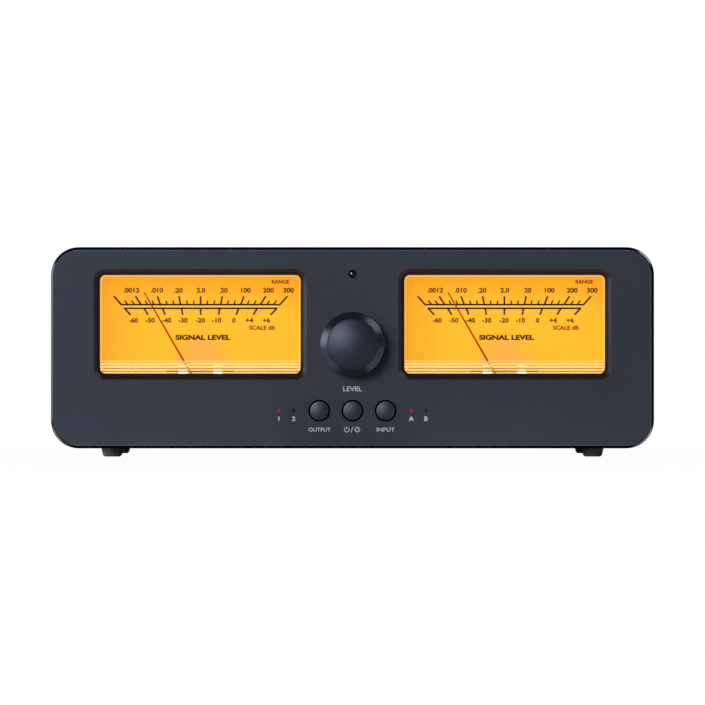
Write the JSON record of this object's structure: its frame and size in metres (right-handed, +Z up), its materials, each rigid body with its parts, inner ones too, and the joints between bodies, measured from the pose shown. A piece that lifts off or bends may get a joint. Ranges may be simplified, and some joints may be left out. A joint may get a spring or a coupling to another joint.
{
  "type": "preamplifier",
  "caption": "Desk-top audio switching box with lit pointer meters, a level knob, push buttons and rear speaker-wire terminals.",
  "frame": {"origin": "on the surface that the feet stand on, at the middle of the overall width and depth", "axes": "+X to the right along the panel's width, the panel faces -Y, +Z up"},
  "size_m": [0.24, 0.1722, 0.0836],
  "materials": {
    "panel_anodised": "satin",
    "case_anodised": "satin",
    "foot_rubber": "satin",
    "screw_steel": "satin",
    "tray_steel": "satin",
    "standoff_brass": "satin",
    "board": "satin",
    "relay_plastic": "gloss",
    "can_aluminium": "gloss",
    "ribbon": "satin",
    "switch_plastic": "matte",
    "lit_red": "gloss",
    "unlit_pipe": "gloss",
    "remote_dark": "polished",
    "control_metal": "satin",
    "nut_plated": "satin",
    "knob_anodised": "satin",
    "button_anodised": "gloss",
    "clear_cover": "gloss",
    "meter_black": "matte",
    "dial_amber": "matte",
    "iron": "satin",
    "copper_coil": "satin",
    "needle_red": "satin",
    "lamp_board": "satin",
    "gold_post": "polished",
    "base_black": "satin",
    "cap_red": "gloss",
    "cap_black": "gloss",
    "socket_black": "satin"
  },
  "bodies": {
    "housing": {"front_panel": "panel_anodised", "case_sleeve": "case_anodised", "rear_panel": "case_anodised", "feet": "foot_rubber", "machine_screws": "screw_steel", "rear_screws": "screw_steel", "chassis_tray": "tray_steel", "standoffs": "standoff_brass", "main_board": "board", "terminal_board": "board", "control_board": "board", "relays": "relay_plastic", "capacitors": "can_aluminium", "board_cable": "ribbon", "button_switches": "switch_plastic", "lit_indicators": "lit_red", "unlit_indicators": "unlit_pipe", "remote_window": "remote_dark", "level_control": "control_metal", "control_nut": "nut_plated", "terminal_posts": "gold_post", "terminal_bases": "base_black", "dc_socket": "socket_black", "left_meter_cover": "clear_cover", "left_meter_case": "meter_black", "left_dial": "dial_amber", "left_movement": "iron", "left_lamp_strip": "lamp_board", "right_meter_cover": "clear_cover", "right_meter_case": "meter_black", "right_dial": "dial_amber", "right_movement": "iron", "right_lamp_strip": "lamp_board"},
    "level_knob": {"knob": "knob_anodised", "control_shaft": "control_metal"},
    "output_button": {"output_button": "button_anodised"},
    "power_button": {"power_button": "button_anodised"},
    "input_button": {"input_button": "button_anodised"},
    "left_pointer": {"left_needle": "needle_red", "left_coil": "copper_coil"},
    "right_pointer": {"right_needle": "needle_red", "right_coil": "copper_coil"},
    "output_2_right_minus_cap": {"output_2_right_minus_cap": "cap_black"},
    "output_2_right_plus_cap": {"output_2_right_plus_cap": "cap_red"},
    "output_2_left_minus_cap": {"output_2_left_minus_cap": "cap_black"},
    "output_2_left_plus_cap": {"output_2_left_plus_cap": "cap_red"},
    "output_1_right_minus_cap": {"output_1_right_minus_cap": "cap_black"},
    "output_1_right_plus_cap": {"output_1_right_plus_cap": "cap_red"},
    "output_1_left_minus_cap": {"output_1_left_minus_cap": "cap_black"},
    "output_1_left_plus_cap": {"output_1_left_plus_cap": "cap_red"},
    "input_b_right_minus_cap": {"input_b_right_minus_cap": "cap_black"},
    "input_b_right_plus_cap": {"input_b_right_plus_cap": "cap_red"},
    "input_b_left_minus_cap": {"input_b_left_minus_cap": "cap_black"},
    "input_b_left_plus_cap": {"input_b_left_plus_cap": "cap_red"},
    "input_a_right_minus_cap": {"input_a_right_minus_cap": "cap_black"},
    "input_a_right_plus_cap": {"input_a_right_plus_cap": "cap_red"},
    "input_a_left_minus_cap": {"input_a_left_minus_cap": "cap_black"},
    "input_a_left_plus_cap": {"input_a_left_plus_cap": "cap_red"}
  },
  "joints": [
    {"name": "knob_turn", "type": "hinge", "parent": "housing", "child": "level_knob", "pos_m": [0, -0.0711, 0.0449], "axis": [0, 1, 0], "range_deg": [-150, 150]},
    {"name": "output_button_press", "type": "slide", "parent": "housing", "child": "output_button", "axis": [0, 1, 0], "range_m": [0, 0.001], "stiffness_N_per_m": 300, "springref_m": -0.002},
    {"name": "power_button_press", "type": "slide", "parent": "housing", "child": "power_button", "axis": [0, 1, 0], "range_m": [0, 0.001], "stiffness_N_per_m": 300, "springref_m": -0.002},
    {"name": "input_button_press", "type": "slide", "parent": "housing", "child": "input_button", "axis": [0, 1, 0], "range_m": [0, 0.001], "stiffness_N_per_m": 300, "springref_m": -0.002},
    {"name": "left_needle_swing", "type": "hinge", "parent": "housing", "child": "left_pointer", "pos_m": [-0.0606, -0.0631, 0.0267], "axis": [0, 1, 0], "range_deg": [-14, 74], "stiffness_Nm_per_rad": 0.002},
    {"name": "right_needle_swing", "type": "hinge", "parent": "housing", "child": "right_pointer", "pos_m": [0.0606, -0.0631, 0.0267], "axis": [0, 1, 0], "range_deg": [-14, 74], "stiffness_Nm_per_rad": 0.002},
    {"name": "output_2_right_minus_cap_loosen", "type": "slide", "parent": "housing", "child": "output_2_right_minus_cap", "axis": [0, 1, 0], "range_m": [0, 0.005]},
    {"name": "output_2_right_plus_cap_loosen", "type": "slide", "parent": "housing", "child": "output_2_right_plus_cap", "axis": [0, 1, 0], "range_m": [0, 0.005]},
    {"name": "output_2_left_minus_cap_loosen", "type": "slide", "parent": "housing", "child": "output_2_left_minus_cap", "axis": [0, 1, 0], "range_m": [0, 0.005]},
    {"name": "output_2_left_plus_cap_loosen", "type": "slide", "parent": "housing", "child": "output_2_left_plus_cap", "axis": [0, 1, 0], "range_m": [0, 0.005]},
    {"name": "output_1_right_minus_cap_loosen", "type": "slide", "parent": "housing", "child": "output_1_right_minus_cap", "axis": [0, 1, 0], "range_m": [0, 0.005]},
    {"name": "output_1_right_plus_cap_loosen", "type": "slide", "parent": "housing", "child": "output_1_right_plus_cap", "axis": [0, 1, 0], "range_m": [0, 0.005]},
    {"name": "output_1_left_minus_cap_loosen", "type": "slide", "parent": "housing", "child": "output_1_left_minus_cap", "axis": [0, 1, 0], "range_m": [0, 0.005]},
    {"name": "output_1_left_plus_cap_loosen", "type": "slide", "parent": "housing", "child": "output_1_left_plus_cap", "axis": [0, 1, 0], "range_m": [0, 0.005]},
    {"name": "input_b_right_minus_cap_loosen", "type": "slide", "parent": "housing", "child": "input_b_right_minus_cap", "axis": [0, 1, 0], "range_m": [0, 0.005]},
    {"name": "input_b_right_plus_cap_loosen", "type": "slide", "parent": "housing", "child": "input_b_right_plus_cap", "axis": [0, 1, 0], "range_m": [0, 0.005]},
    {"name": "input_b_left_minus_cap_loosen", "type": "slide", "parent": "housing", "child": "input_b_left_minus_cap", "axis": [0, 1, 0], "range_m": [0, 0.005]},
    {"name": "input_b_left_plus_cap_loosen", "type": "slide", "parent": "housing", "child": "input_b_left_plus_cap", "axis": [0, 1, 0], "range_m": [0, 0.005]},
    {"name": "input_a_right_minus_cap_loosen", "type": "slide", "parent": "housing", "child": "input_a_right_minus_cap", "axis": [0, 1, 0], "range_m": [0, 0.005]},
    {"name": "input_a_right_plus_cap_loosen", "type": "slide", "parent": "housing", "child": "input_a_right_plus_cap", "axis": [0, 1, 0], "range_m": [0, 0.005]},
    {"name": "input_a_left_minus_cap_loosen", "type": "slide", "parent": "housing", "child": "input_a_left_minus_cap", "axis": [0, 1, 0], "range_m": [0, 0.005]},
    {"name": "input_a_left_plus_cap_loosen", "type": "slide", "parent": "housing", "child": "input_a_left_plus_cap", "axis": [0, 1, 0], "range_m": [0, 0.005]}
  ]
}
